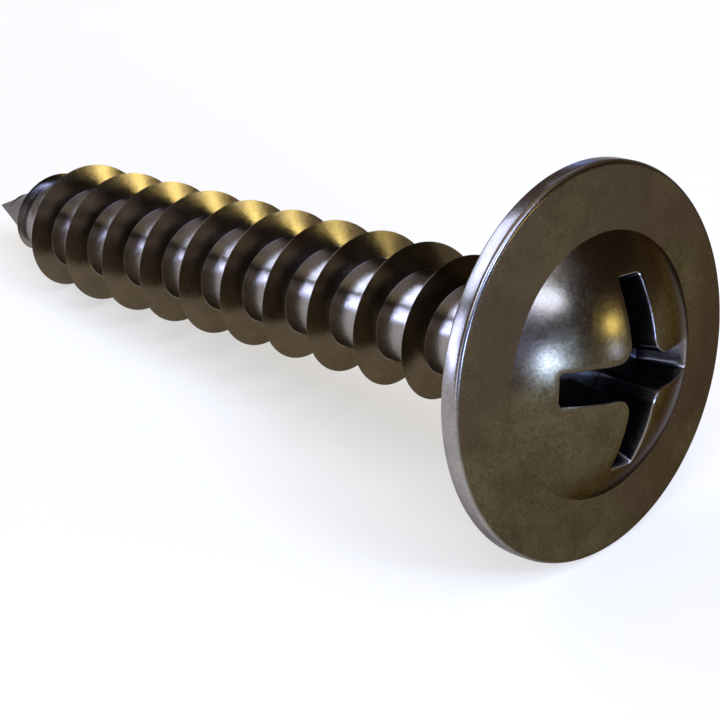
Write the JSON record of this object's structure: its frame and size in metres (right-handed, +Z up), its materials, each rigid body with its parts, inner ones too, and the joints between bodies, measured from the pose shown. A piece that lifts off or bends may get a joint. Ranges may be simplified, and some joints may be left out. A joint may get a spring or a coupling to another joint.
{
  "type": "washer head screw",
  "caption": "Tapping screw with a wide thin washer under a low dome, a cross recess, a coarse sharp left-hand thread and a conical point, lying on its rim and thread.",
  "frame": {"origin": "centre of the footprint's box, on the surface that the screw lies on", "axes": "+X from the point to the head, +Z up; the screw's axis lies in the XZ plane and rises 8.8 degrees towards the head"},
  "size_m": [0.031, 0.012, 0.0119],
  "materials": {
    "bronzed_steel": "dark bronzed plating, semi-bright, slightly mottled, with blue and gold tints on the thread"
  },
  "bodies": {
    "root": {"screw": "bronzed_steel"}
  },
  "joints": []
}
